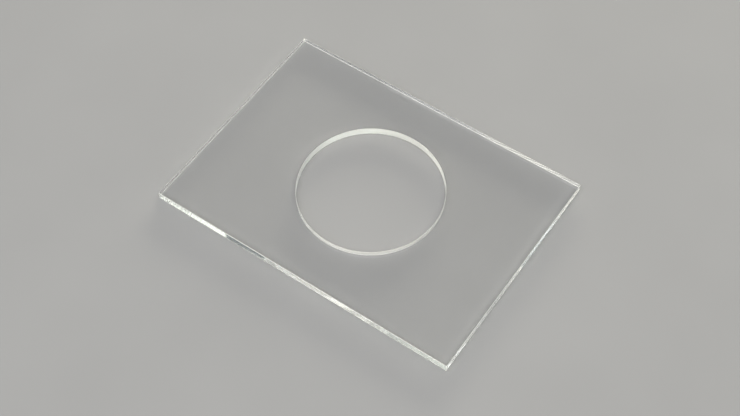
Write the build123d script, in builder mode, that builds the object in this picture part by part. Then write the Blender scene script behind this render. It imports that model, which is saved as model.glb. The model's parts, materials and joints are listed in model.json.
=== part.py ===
from build123d import *
import os

# Circle template: one flat plate of clear acrylic with one large round hole, which
# guides a pen round a circle. It lies flat on the drawing. The origin is the middle
# of its underside, +X runs along its long edges, +Y along its short edges and +Z up
# from the paper. Every length is in millimetres.

# Driving dimensions
plate_length = 160.0  # along X
plate_width = 115.0  # along Y
plate_thickness = 4.0  # stock sheet
corner_radius = 0.4  # upright corners of the plate, only dulled
edge_rounding = 0.2  # every sharp edge round the flat faces, only dulled
circle_diameter = 70.0  # the circle that the template draws
circle_offset_x = 0.25  # middle of the circle from the middle of the plate
circle_offset_y = 0.55

# Template plate: sawn to a rectangle, bored, and its edges dulled
with BuildPart() as template_plate:
    with BuildSketch(Plane.XY):
        Rectangle(plate_length, plate_width)
    extrude(amount=plate_thickness)
    upright_corners = template_plate.edges().filter_by(Axis.Z)
    fillet(upright_corners, radius=corner_radius)
    with Locations((circle_offset_x, circle_offset_y, plate_thickness)):
        Hole(radius=circle_diameter / 2)
    flat_faces = template_plate.faces().filter_by(Axis.Z)
    fillet(flat_faces.edges(), radius=edge_rounding)

template_plate.part.label = "template_plate"
os.makedirs("parts", exist_ok=True)
export_step(template_plate.part, "parts/template_plate.step")
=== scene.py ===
"""Circle template: a clear acrylic plate with one large drawing hole, on a plain stage.

Lengths are metres in the CAD frame: the plate lies on z = 0 with its long edges along X.
"""

import json
import math

import bmesh
import bpy
from bpy.props import FloatProperty, FloatVectorProperty, PointerProperty
from mathutils import Matrix, Vector


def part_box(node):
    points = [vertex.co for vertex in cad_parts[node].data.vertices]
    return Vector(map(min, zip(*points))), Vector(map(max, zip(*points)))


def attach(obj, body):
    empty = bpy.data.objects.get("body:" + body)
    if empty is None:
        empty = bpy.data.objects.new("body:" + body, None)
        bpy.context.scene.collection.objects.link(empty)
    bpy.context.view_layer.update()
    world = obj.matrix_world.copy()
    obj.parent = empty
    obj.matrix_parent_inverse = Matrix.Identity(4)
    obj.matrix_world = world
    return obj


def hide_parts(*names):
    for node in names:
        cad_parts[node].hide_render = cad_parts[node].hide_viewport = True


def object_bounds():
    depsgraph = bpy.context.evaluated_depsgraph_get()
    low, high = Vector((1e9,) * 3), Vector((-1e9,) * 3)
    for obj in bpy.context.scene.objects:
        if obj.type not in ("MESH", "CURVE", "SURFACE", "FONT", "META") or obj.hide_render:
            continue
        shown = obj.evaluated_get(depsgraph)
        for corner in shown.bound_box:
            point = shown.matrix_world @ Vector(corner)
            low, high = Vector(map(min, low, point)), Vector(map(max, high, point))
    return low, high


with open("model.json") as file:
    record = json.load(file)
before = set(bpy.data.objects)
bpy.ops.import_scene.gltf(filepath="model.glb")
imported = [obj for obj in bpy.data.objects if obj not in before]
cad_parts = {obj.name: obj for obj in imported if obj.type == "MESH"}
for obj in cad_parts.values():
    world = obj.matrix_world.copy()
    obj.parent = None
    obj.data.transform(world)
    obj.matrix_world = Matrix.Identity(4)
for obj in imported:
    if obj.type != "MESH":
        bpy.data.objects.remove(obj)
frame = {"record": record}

bl_info = {
    "name": "Circle Template",
    "version": (1, 0, 0),
    "blender": (4, 5, 0),
    "location": "View3D > Sidebar > Template",
    "description": "Makes a clear acrylic circle template and a stage to look at it on",
    "category": "Object",
}

MM = 0.001
CAD_LOW, CAD_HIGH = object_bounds()
PLATE_LOW, PLATE_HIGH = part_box("template_plate")
PLATE_MIDDLE = (PLATE_LOW.z + PLATE_HIGH.z) / 2
CIRCLE = next(mount for mount in frame["record"]["mounts"] if mount["name"] == "circle")
CIRCLE_CENTRE = Vector(CIRCLE["pos_m"])
CIRCLE_RADIUS = CIRCLE["dims"]["r_mm"] * MM


# Settings ---------------------------------------------------------------------------------


class TemplatePlateSettings(bpy.types.PropertyGroup):
    """Sizes and finish of the acrylic plate."""

    corner_radius: FloatProperty(
        name="Corner radius",
        description="Radius of the four upright corners",
        default=0.4 * MM,
        min=0.25 * MM,
        unit="LENGTH",
        precision=5,
    )
    edge_rounding: FloatProperty(
        name="Edge rounding",
        description="Radius of the scraped edges round both flat faces",
        default=0.2 * MM,
        min=0.02 * MM,
        unit="LENGTH",
        precision=5,
    )
    column_pitch: FloatProperty(
        name="Column pitch",
        description="Distance between mesh columns along the sawn edges",
        default=1.0 * MM,
        min=0.3 * MM,
        unit="LENGTH",
        precision=5,
    )
    front_lean: FloatProperty(
        name="Front lean",
        description="How far the sawn front edge leans in from the paper to the top face",
        default=0.08 * MM,
        min=0.0,
        unit="LENGTH",
        precision=5,
    )
    nick_depth: FloatProperty(
        name="Nick depth",
        description="Depth of the small tool nicks in the front edge, near its left end",
        default=0.20 * MM,
        min=0.0,
        unit="LENGTH",
        precision=5,
    )
    tint: FloatVectorProperty(
        name="Tint",
        description="Colour that the acrylic turns with depth",
        default=(0.80, 0.94, 0.93),
        subtype="COLOR",
        min=0.0,
        max=1.0,
    )
    tint_density: FloatProperty(
        name="Tint density",
        description="How strongly a metre of acrylic takes on the tint",
        default=3.0,
        min=0.0,
    )
    edge_roughness: FloatProperty(
        name="Edge roughness",
        description="Roughness of the sawn outer edges",
        default=0.05,
        min=0.0,
        max=1.0,
    )
    scraped_roughness: FloatProperty(
        name="Scraped roughness",
        description="How much rougher the scraped corners are than the sawn walls",
        default=0.25,
        min=0.0,
        max=1.0,
    )
    bore_roughness: FloatProperty(
        name="Bore roughness",
        description="Roughness of the wall of the drawing hole",
        default=0.38,
        min=0.0,
        max=1.0,
    )
    frost_colour: FloatVectorProperty(
        name="Frost",
        description="Colour of the white bloom on cut acrylic",
        default=(0.88, 0.89, 0.88),
        subtype="COLOR",
        min=0.0,
        max=1.0,
    )
    bore_frost: FloatProperty(
        name="Bore frost",
        description="Share of the bore that is clouded by its cut",
        default=0.45,
        min=0.0,
        max=1.0,
    )
    saw_frost: FloatProperty(
        name="Saw frost",
        description="Share of the rear edge that is clouded where the saw marks are coarse",
        default=1.0,
        min=0.0,
        max=1.0,
    )
    scraped_frost: FloatProperty(
        name="Scraped frost",
        description="Share of the scraped edges and corners that is clouded",
        default=1.0,
        min=0.0,
        max=1.0,
    )
    # Painted shade: a dark colour laid into the nicks, deeper with nick depth, to darken the light
    # through them
    nick_shade_colour: FloatVectorProperty(
        name="Nick shade",
        description="Colour that the nicks give to the light through them",
        default=(0.16, 0.17, 0.17),
        subtype="COLOR",
        min=0.0,
        max=1.0,
    )


class TemplateStageSettings(bpy.types.PropertyGroup):
    """The floor, the light and the camera."""

    floor_colour: FloatVectorProperty(
        name="Floor",
        description="Colour of the plain floor",
        default=(0.32, 0.32, 0.32),
        subtype="COLOR",
        min=0.0,
        max=1.0,
    )
    key_power: FloatProperty(
        name="Key light",
        description="Power of the large warm softbox behind the plate at the right",
        default=7.5,
        min=0.0,
        unit="POWER",
    )
    top_power: FloatProperty(
        name="Top light",
        description="Power of the neutral softbox overhead",
        default=26.0,
        min=0.0,
        unit="POWER",
    )
    front_power: FloatProperty(
        name="Front light",
        description="Power of the neutral softbox low in front",
        default=5.0,
        min=0.0,
        unit="POWER",
    )
    rear_power: FloatProperty(
        name="Rear light",
        description="Power of the low strip behind the plate",
        default=22.0,
        min=0.0,
        unit="POWER",
    )
    lens: FloatProperty(
        name="Lens",
        description="Focal length of the camera",
        default=66.7,
        min=10.0,
        unit="CAMERA",
    )


# Shader writing ---------------------------------------------------------------------------


class Wire:
    """One output socket, wrapped so that shader maths reads as an expression."""

    def __init__(self, shader, socket):
        self.shader = shader
        self.socket = socket

    def maths(self, operation, first, second=0.0):
        node = self.shader.node("ShaderNodeMath", {"operation": operation}, {0: first, 1: second})
        return self.shader.wire(node)

    def __add__(self, other):
        return self.maths("ADD", self, other)

    def __sub__(self, other):
        return self.maths("SUBTRACT", self, other)

    def __rsub__(self, other):
        return self.maths("SUBTRACT", other, self)

    def __mul__(self, other):
        return self.maths("MULTIPLY", self, other)

    def __gt__(self, other):
        return self.maths("GREATER_THAN", self, other)

    def __lt__(self, other):
        return self.maths("LESS_THAN", self, other)

    def __abs__(self):
        return self.maths("ABSOLUTE", self)

    __radd__ = __add__


class Shader:
    """A node tree that is filled one node at a time."""

    def __init__(self, tree):
        self.tree = tree
        self.tree.nodes.clear()

    def node(self, kind, settings=None, inputs=None):
        node = self.tree.nodes.new(kind)
        for name, value in (settings or {}).items():
            if name == "stops":
                self.set_stops(node, value)
            else:
                setattr(node, name, value)
        for name, value in (inputs or {}).items():
            if isinstance(value, Wire):
                self.tree.links.new(value.socket, node.inputs[name])
            else:
                node.inputs[name].default_value = value
        return node

    def set_stops(self, node, stops):
        elements = node.color_ramp.elements
        while len(elements) < len(stops):
            elements.new(1.0)
        for element, (position, colour) in zip(elements, stops):
            element.position = position
            element.color = (*colour, 1.0)

    def wire(self, node, output=0):
        return Wire(self, node.outputs[output])

    def vector_parts(self, vector):
        parts = self.node("ShaderNodeSeparateXYZ", inputs={"Vector": vector})
        return [self.wire(parts, axis) for axis in "XYZ"]

    def noise(self, vector, scale, detail=2.0):
        node = self.node(
            "ShaderNodeTexNoise", inputs={"Vector": vector, "Scale": scale, "Detail": detail}
        )
        return self.wire(node, "Fac")

    def sine(self, value):
        return self.wire(self.node("ShaderNodeMath", {"operation": "SINE"}, {0: value}))

    def fade(self, value, start, end):
        """0 up to start, 1 from end, and smooth between them."""
        node = self.node(
            "ShaderNodeMapRange",
            {"interpolation_type": "SMOOTHSTEP"},
            {"Value": value, "From Min": start, "From Max": end},
        )
        return self.wire(node)


def new_material(name):
    material = bpy.data.materials.new(name)
    material.use_nodes = True
    return material, Shader(material.node_tree)


# Acrylic ----------------------------------------------------------------------------------

IOR = 1.49
# What one flat face passes on of the light that falls on it
FACE_PASSES = (0.95, 0.95, 0.95, 1.0)
# How nearly a normal must point up or down on a flat face, straight out on a sawn wall, and
# left or right on the two ends
FLAT = 0.995
STRAIGHT_OUT = 0.985
ENDWAYS = 0.7
# How far outside the bore's radius its wall and rounded edges are looked for
BORE_REACH = 2 * MM
# How far the scraped edge reaches up or down the wall, its rounding included
SCRAPED_BAND = 0.25 * MM
SAW_PITCH = 1.2 * MM
SAW_SLANT = -0.6  # how far the marks lean along the edge for each unit of height
# Where the saw marks of the rear edge grow coarse and where they ease again, as shares of the
# way from its middle to its right end, and how much of the coarseness is lost there
COARSE_RISE = (0.1, 0.55)
COARSE_FALL = (0.75, 1.0)
COARSE_LOSS = 0.5
# Where frost starts and is full on the crest of a saw mark, which runs from -1 to 1
CREST = (-0.3, 0.3)
# Where torn acrylic starts and is complete, as shares of the deepest nick
TORN = (0.15, 0.5)
RING_PITCH = 0.3 * MM
# Noise cells in a metre
GRAIN_SCALE = 5200.0
PATCH_SCALE = 45.0
GRAIN_DETAIL = 3.0  # finer layers within the grain
# What each kind of mark adds to the roughness
PATCH_ROUGHNESS = 0.03
COARSE_ROUGHNESS = 0.12
TORN_ROUGHNESS = 0.3
GRAIN_ROUGHNESS = 0.16
# How high each kind of mark stands, as a share of the tallest bump
SAW_RELIEF = 0.03
COARSE_RELIEF = 1.2
RING_RELIEF = 0.2
GRAIN_RELIEF = 0.5
TALLEST_BUMP = 0.02 * MM
BUMP_STRENGTH = 0.35
FROST_ROUGHNESS = 0.5
FROST_THROUGH = 0.5  # the share of the frost that scatters light through
# The least cloud on the bore and what the grain adds to it, as shares of the bore frost
BORE_CLOUD = 0.85
GRAIN_CLOUD = 0.3
WHITE = (1.0, 1.0, 1.0, 1.0)


def acrylic_material(settings):
    """Clear cast acrylic: flat faces as cast, outer edges sawn and scraped, the bore frosted."""
    material, shader = new_material("clear_acrylic")
    place = shader.wire(shader.node("ShaderNodeTexCoord"), "Object")
    normal = shader.wire(shader.node("ShaderNodeNewGeometry"), "Normal")
    x, y, z = shader.vector_parts(place)
    across, along, up = shader.vector_parts(normal)

    # 1 on every cut wall and its rounded edges, 0 on the two flat faces
    cut = abs(up) < FLAT
    from_axis_x = x - CIRCLE_CENTRE.x
    from_axis_y = y - CIRCLE_CENTRE.y
    squared = from_axis_x * from_axis_x + from_axis_y * from_axis_y
    bore = cut * (squared < (CIRCLE_RADIUS + BORE_REACH) ** 2)
    edge = cut - bore
    # The sawn walls face along X or Y; their scraped edges and corners lie outside them
    sawn = (abs(across) > STRAIGHT_OUT) + (abs(along) > STRAIGHT_OUT)
    sawn = sawn * (abs(z - PLATE_MIDDLE) < PLATE_MIDDLE - SCRAPED_BAND)
    scraped = edge * (1 - sawn)

    # Saw marks: slanted ripples along each outer edge, coarse at one end of the rear one
    runs_along_y = abs(across) > ENDWAYS
    distance = x * (1 - runs_along_y) + y * runs_along_y + z * SAW_SLANT
    ripple = shader.sine(distance * (2 * math.pi / SAW_PITCH))
    rear = (1 - runs_along_y) * (y > 0)
    rise = shader.fade(x, *(PLATE_HIGH.x * share for share in COARSE_RISE))
    fall = shader.fade(x, *(PLATE_HIGH.x * share for share in COARSE_FALL))
    coarse = edge * rear * rise * (1 - fall * COARSE_LOSS)
    grain = shader.noise(place, GRAIN_SCALE, GRAIN_DETAIL)
    patch = shader.noise(place, PATCH_SCALE)
    # The nicks are torn rather than cut; the dark colour in them is painted shade, which darkens
    # the light through them
    nick = shader.wire(shader.node("ShaderNodeAttribute", {"attribute_name": "nick"}), "Fac")
    torn = shader.fade(nick, *TORN)
    # Tool marks: fine level rings round the bore
    rings = shader.sine(z * (2 * math.pi / RING_PITCH))

    roughness = (
        edge * (settings.edge_roughness + patch * PATCH_ROUGHNESS)
        + scraped * settings.scraped_roughness
        + coarse * COARSE_ROUGHNESS
        + torn * TORN_ROUGHNESS
        + bore * (settings.bore_roughness + grain * GRAIN_ROUGHNESS)
    )
    saw_height = edge * ripple * (SAW_RELIEF + coarse * COARSE_RELIEF)
    height = saw_height + bore * (rings * RING_RELIEF + grain * GRAIN_RELIEF)
    bump = shader.node(
        "ShaderNodeBump",
        inputs={"Strength": BUMP_STRENGTH, "Distance": TALLEST_BUMP, "Height": height},
    )
    lumps = shader.wire(bump)
    # Painted shade in the nicks: the clear acrylic's colour turns from white to the dark nick
    # colour as the nicks deepen
    nick_shade = shader.node(
        "ShaderNodeMix",
        {"data_type": "RGBA"},
        {0: torn, 6: WHITE, 7: (*settings.nick_shade_colour, 1.0)},
    )
    clear = shader.node(
        "ShaderNodeBsdfPrincipled",
        inputs={
            "Base Color": shader.wire(nick_shade, 2),
            "Roughness": roughness,
            "IOR": IOR,
            "Transmission Weight": 1.0,
            "Normal": lumps,
        },
    )
    # Frost scatters light both back and through
    frost_colour = (*settings.frost_colour, 1.0)
    bloom = shader.node(
        "ShaderNodeBsdfPrincipled",
        inputs={
            "Base Color": frost_colour,
            "Roughness": FROST_ROUGHNESS,
            "IOR": IOR,
            "Normal": lumps,
        },
    )
    glow = shader.node("ShaderNodeBsdfTranslucent", inputs={"Color": frost_colour, "Normal": lumps})
    frost = shader.node(
        "ShaderNodeMixShader",
        inputs={0: FROST_THROUGH, 1: shader.wire(bloom), 2: shader.wire(glow)},
    )
    clouded = (
        bore * settings.bore_frost * (BORE_CLOUD + grain * GRAIN_CLOUD)
        + coarse * settings.saw_frost * shader.fade(ripple, *CREST)
        + scraped * settings.scraped_frost
    )
    surface = shader.node(
        "ShaderNodeMixShader", inputs={0: clouded, 1: shader.wire(clear), 2: shader.wire(frost)}
    )
    # Light from lamps and matt surfaces goes straight through the flat faces, less what those
    # mirror away, so that the floor under the plate is lit evenly
    window = shader.node("ShaderNodeBsdfTransparent", inputs={"Color": FACE_PASSES})
    path = shader.node("ShaderNodeLightPath")
    lighting = shader.wire(path, "Is Shadow Ray") + shader.wire(path, "Is Diffuse Ray")
    lit_through = shader.node(
        "ShaderNodeMixShader",
        inputs={0: lighting * (1 - cut), 1: shader.wire(surface), 2: shader.wire(window)},
    )
    depth = shader.node(
        "ShaderNodeVolumeAbsorption",
        inputs={"Color": (*settings.tint, 1.0), "Density": settings.tint_density},
    )
    shader.node(
        "ShaderNodeOutputMaterial",
        inputs={"Surface": shader.wire(lit_through), "Volume": shader.wire(depth)},
    )
    return material


# Plate ------------------------------------------------------------------------------------

# The slanted nicks in the front edge: how far each is from its left end, in millimetres, and
# how deep, as a share of the deepest
NICKS = ((1.6, 1.0), (4.7, 0.9), (6.4, 0.95), (9.6, 0.6), (11.6, 0.5), (14.3, 0.45), (16.2, 0.35))
NICK_WIDTH = 0.3 * MM
NICK_LENGTH = 1.0 * MM
NICK_HEIGHT = 2.3 * MM  # of their middles, above the underside
NICK_SLANT = 0.6  # how far they lean along the edge for each unit of height
FRONTWAYS = -0.99  # the front wall's outward directions have a y no greater than this
# The columns stand closer along the stretch of the front edge that holds the nicks
FINE_STRETCH = 17.6 * MM
FINE_PITCH = 0.2 * MM
ARC_STEPS = 4
WALL_ROWS = 14
FACE_RINGS = 5
LARGE_FACES_LEAD = 100  # the modifier's strongest weight for the larger face


def spread(start, end, pitch):
    """Evenly spaced numbers from start up to, but not at, end."""
    count = max(1, round(abs(end - start) / pitch))
    return [start + (end - start) * step / count for step in range(count)]


def outline_columns(settings):
    """Where each mesh column stands round the plate: a base point and an outward direction.

    The base points lie one corner radius inside the outline, so that the same column serves
    every offset from it.
    """
    inset = settings.corner_radius
    low_x, high_x = PLATE_LOW.x + inset, PLATE_HIGH.x - inset
    low_y, high_y = PLATE_LOW.y + inset, PLATE_HIGH.y - inset
    pitch = settings.column_pitch
    front = spread(low_x, low_x + FINE_STRETCH, FINE_PITCH)
    front += spread(low_x + FINE_STRETCH, high_x, pitch)
    sides = (
        ([(x, low_y) for x in front], (high_x, low_y), -90),
        ([(high_x, y) for y in spread(low_y, high_y, pitch)], (high_x, high_y), 0),
        ([(x, high_y) for x in spread(high_x, low_x, pitch)], (low_x, high_y), 90),
        ([(low_x, y) for y in spread(high_y, low_y, pitch)], (low_x, low_y), 180),
    )
    columns = []
    for points, corner, facing in sides:
        outward = direction(facing)
        columns += [(Vector(point), outward) for point in points]
        columns += [
            (Vector(corner), direction(facing + 90 * step / ARC_STEPS))
            for step in range(ARC_STEPS)
        ]
    return columns


def direction(degrees):
    return Vector((math.cos(math.radians(degrees)), math.sin(math.radians(degrees))))


def quarter_round(radius):
    """(inset, drop) along a rounded edge, from the flat face down to the wall."""
    angles = [math.pi / 2 * step / ARC_STEPS for step in range(ARC_STEPS + 1)]
    return [(radius * (1 - math.sin(a)), radius * (1 - math.cos(a))) for a in angles]


def plate_profile(settings):
    """The plate's cross-section as rings: (share of the way to the bore, inset, height)."""
    radius = settings.edge_rounding
    low, high = PLATE_LOW.z, PLATE_HIGH.z
    edge = quarter_round(radius)
    straight = high - low - 2 * radius
    wall = [low + radius + straight * row / WALL_ROWS for row in range(1, WALL_ROWS)]
    shares = [ring / FACE_RINGS for ring in range(1, FACE_RINGS)]
    outer_up = [(0, inset, low + drop) for inset, drop in edge]
    outer_up += [(0, 0, z) for z in wall]
    outer_up += [(0, inset, high - drop) for inset, drop in reversed(edge)]
    top = [(share, radius, high) for share in shares]
    bore_down = [(1, inset, high - drop) for inset, drop in edge]
    bore_down += [(1, 0, z) for z in reversed(wall)]
    bore_down += [(1, inset, low + drop) for inset, drop in reversed(edge)]
    under = [(share, radius, low) for share in reversed(shares)]
    return outer_up + top + bore_down + under


def nick_share(column, ring):
    """How deep this mesh point lies in a nick of the front wall, as a share of the deepest."""
    base, outward = column
    share, inset, height = ring
    if share > 0 or inset > 0 or outward.y > FRONTWAYS:
        return 0.0
    above = height - NICK_HEIGHT
    depth = 0.0
    for from_left, strength in NICKS:
        aside = base.x - PLATE_LOW.x - from_left * MM - above * NICK_SLANT
        depth += strength * math.exp(-((aside / NICK_WIDTH) ** 2) - (above / NICK_LENGTH) ** 2)
    return depth


def plate_point(column, ring, settings):
    """One mesh point: on the outline, on the bore, or a share of the way between them."""
    base, outward = column
    share, inset, height = ring
    on_outline = base + outward * (settings.corner_radius - inset)
    # The front wall leans in, from nothing at the top of its lower rounding
    foot = PLATE_LOW.z + settings.edge_rounding
    lean = max(0.0, -outward.y) * max(0.0, height - foot) / (PLATE_HIGH.z - foot)
    on_outline.y += settings.front_lean * lean + settings.nick_depth * nick_share(column, ring)
    towards = (base + outward * settings.corner_radius - CIRCLE_CENTRE.xy).normalized()
    on_bore = CIRCLE_CENTRE.xy + towards * (CIRCLE_RADIUS + inset)
    return (*on_outline.lerp(on_bore, share), height)


def build_plate(settings):
    """One closed mesh of quads: columns round the plate by rings round its cross-section."""
    columns = outline_columns(settings)
    rings = plate_profile(settings)
    body = bmesh.new()
    grid = [[body.verts.new(plate_point(c, r, settings)) for r in rings] for c in columns]
    for column, after in zip(grid, grid[1:] + grid[:1]):
        for ring in range(len(rings)):
            above = (ring + 1) % len(rings)
            face = body.faces.new((column[ring], after[ring], after[above], column[above]))
            face.smooth = True
    bmesh.ops.recalc_face_normals(body, faces=body.faces)
    mesh = bpy.data.meshes.new("acrylic_plate")
    body.to_mesh(mesh)
    body.free()
    # How deep each point lies in a nick, from 0 to 1, for the material
    depths = [nick_share(column, ring) for column in columns for ring in rings]
    mesh.attributes.new("nick", "FLOAT", "POINT").data.foreach_set("value", depths)
    plate = bpy.data.objects.new("acrylic_plate", mesh)
    bpy.context.scene.collection.objects.link(plate)
    mesh.materials.append(acrylic_material(settings))
    normals = plate.modifiers.new("flat faces stay flat", "WEIGHTED_NORMAL")
    normals.weight = LARGE_FACES_LEAD
    return plate


class TEMPLATE_OT_plate(bpy.types.Operator):
    """Make the clear acrylic plate with its drawing hole"""

    bl_idname = "template.plate"
    bl_label = "Acrylic Plate"
    bl_options = {"REGISTER", "UNDO"}

    def execute(self, context):
        plate = build_plate(context.scene.template_plate)
        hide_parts("template_plate")
        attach(plate, "root")
        return {"FINISHED"}


# Stage ------------------------------------------------------------------------------------

FLOOR_GAP = 0.03 * MM
FLOOR_RADIUS = 3.0
FLOOR_SEGMENTS = 96
CARD_ROUGHNESS = 0.9
CARD_SHEEN = 0.1
# The mottle: noise cells in a metre, the noise where it is darkest and lightest, and how dark
MOTTLE_SCALE = 14.0
MOTTLE_DARKEST, MOTTLE_LIGHTEST = 0.3, 0.7
MOTTLE_SHADE = 0.96
CAMERA_PLACE = Vector((211.84, -296.76, 529.25)) * MM
CAMERA_TARGET = Vector((4.63, -6.48, 0.0)) * MM
CAMERA_ROLL = math.radians(0.94)
SENSOR_WIDTH = 36.0  # millimetres, as the lens is
NEAREST_SEEN = 0.01
BOUNCES = 64
WARM = (1.0, 0.98, 0.86)
WARMER = (1.0, 0.95, 0.80)
NEUTRAL = (1.0, 1.0, 1.0)
# Each softbox: its name, its place and size in metres, the setting of its power, its colour
SOFTBOXES = (
    ("key_softbox", (0.52, 0.72, 1.28), (1.3, 1.3), "key_power", WARM),
    ("top_softbox", (0.15, -0.45, 1.45), (1.8, 1.8), "top_power", NEUTRAL),
    ("front_softbox", (-0.45, -1.15, 0.65), (1.8, 1.0), "front_power", NEUTRAL),
    ("rear_strip", (-0.45, 1.25, 0.20), (0.9, 0.22), "rear_power", WARMER),
)
# The studio walls' colour, from 0, level with the plate, to 1, straight overhead
STUDIO_WALLS = (
    (0.0, (0.50, 0.50, 0.50)),
    (0.5, (0.16, 0.16, 0.165)),
    (1.0, (0.08, 0.08, 0.085)),
)


def floor_material(colour):
    """Matt pale card with a very faint mottle."""
    material, shader = new_material("pale_card")
    place = shader.wire(shader.node("ShaderNodeTexCoord"), "Object")
    mottle = shader.noise(place, MOTTLE_SCALE)
    dark = [MOTTLE_SHADE * part for part in colour]
    stops = ((MOTTLE_DARKEST, dark), (MOTTLE_LIGHTEST, tuple(colour)))
    ramp = shader.node("ShaderNodeValToRGB", {"stops": stops}, {"Fac": mottle})
    surface = shader.node(
        "ShaderNodeBsdfPrincipled",
        inputs={
            "Base Color": shader.wire(ramp),
            "Roughness": CARD_ROUGHNESS,
            "Specular IOR Level": CARD_SHEEN,
        },
    )
    shader.node("ShaderNodeOutputMaterial", inputs={"Surface": shader.wire(surface)})
    return material


def build_floor(settings):
    body = bmesh.new()
    bmesh.ops.create_circle(body, cap_ends=True, segments=FLOOR_SEGMENTS, radius=FLOOR_RADIUS)
    mesh = bpy.data.meshes.new("floor")
    body.to_mesh(mesh)
    body.free()
    floor = bpy.data.objects.new("floor", mesh)
    floor.location.z = CAD_LOW.z - FLOOR_GAP
    mesh.materials.append(floor_material(settings.floor_colour))
    bpy.context.scene.collection.objects.link(floor)


def add_softbox(name, place, size, power, colour):
    """A rectangular area light at place, in metres, that faces the middle of the plate."""
    light = bpy.data.lights.new(name, "AREA")
    light.shape = "RECTANGLE"
    light.size, light.size_y = size
    light.energy = power
    light.color = colour
    softbox = bpy.data.objects.new(name, light)
    softbox.location = place
    softbox.rotation_euler = (-Vector(place)).to_track_quat("-Z", "Y").to_euler()
    bpy.context.scene.collection.objects.link(softbox)


def build_world():
    """Studio walls that are pale near the floor and dim overhead."""
    world = bpy.data.worlds.new("studio")
    world.use_nodes = True
    bpy.context.scene.world = world
    shader = Shader(world.node_tree)
    place = shader.wire(shader.node("ShaderNodeTexCoord"), "Generated")
    height = shader.vector_parts(place)[2]
    ramp = shader.node("ShaderNodeValToRGB", {"stops": STUDIO_WALLS}, {"Fac": height})
    light = shader.node("ShaderNodeBackground", inputs={"Color": shader.wire(ramp)})
    shader.node("ShaderNodeOutputWorld", inputs={"Surface": shader.wire(light)})


def build_camera(settings):
    lens = bpy.data.cameras.new("camera")
    lens.sensor_width = SENSOR_WIDTH
    lens.lens = settings.lens
    lens.clip_start = NEAREST_SEEN
    camera = bpy.data.objects.new("camera", lens)
    aim = (CAMERA_TARGET - CAMERA_PLACE).to_track_quat("-Z", "Y").to_matrix().to_4x4()
    roll = Matrix.Rotation(-CAMERA_ROLL, 4, "Z")
    camera.matrix_world = Matrix.Translation(CAMERA_PLACE) @ aim @ roll
    bpy.context.scene.collection.objects.link(camera)
    bpy.context.scene.camera = camera


def set_light_paths(scene):
    """Light runs through the sheet from edge to edge, which takes many inner reflections."""
    scene.cycles.max_bounces = BOUNCES
    scene.cycles.glossy_bounces = BOUNCES
    scene.cycles.transmission_bounces = BOUNCES
    scene.cycles.blur_glossy = 0.0


class TEMPLATE_OT_stage(bpy.types.Operator):
    """Make the pale floor, the studio light and the camera"""

    bl_idname = "template.stage"
    bl_label = "Stage"
    bl_options = {"REGISTER", "UNDO"}

    def execute(self, context):
        settings = context.scene.template_stage
        build_floor(settings)
        build_world()
        for name, place, size, power, colour in SOFTBOXES:
            add_softbox(name, place, size, getattr(settings, power), colour)
        build_camera(settings)
        set_light_paths(context.scene)
        context.scene.view_settings.view_transform = "Standard"
        return {"FINISHED"}


class TEMPLATE_PT_panel(bpy.types.Panel):
    """Lists the steps that make the template"""

    bl_label = "Circle Template"
    bl_idname = "TEMPLATE_PT_panel"
    bl_space_type = "VIEW_3D"
    bl_region_type = "UI"
    bl_category = "Template"

    def draw(self, context):
        for settings, operator in (
            (context.scene.template_plate, TEMPLATE_OT_plate),
            (context.scene.template_stage, TEMPLATE_OT_stage),
        ):
            box = self.layout.box()
            for name in settings.__annotations__:
                box.prop(settings, name)
            box.operator(operator.bl_idname)


CLASSES = (
    TemplatePlateSettings,
    TemplateStageSettings,
    TEMPLATE_OT_plate,
    TEMPLATE_OT_stage,
    TEMPLATE_PT_panel,
)


def register():
    for cls in CLASSES:
        bpy.utils.register_class(cls)
    bpy.types.Scene.template_plate = PointerProperty(type=TemplatePlateSettings)
    bpy.types.Scene.template_stage = PointerProperty(type=TemplateStageSettings)


def unregister():
    del bpy.types.Scene.template_stage
    del bpy.types.Scene.template_plate
    for cls in reversed(CLASSES):
        bpy.utils.unregister_class(cls)


def main():
    register()
    bpy.ops.template.plate()
    bpy.ops.template.stage()


if __name__ == "__main__":
    main()
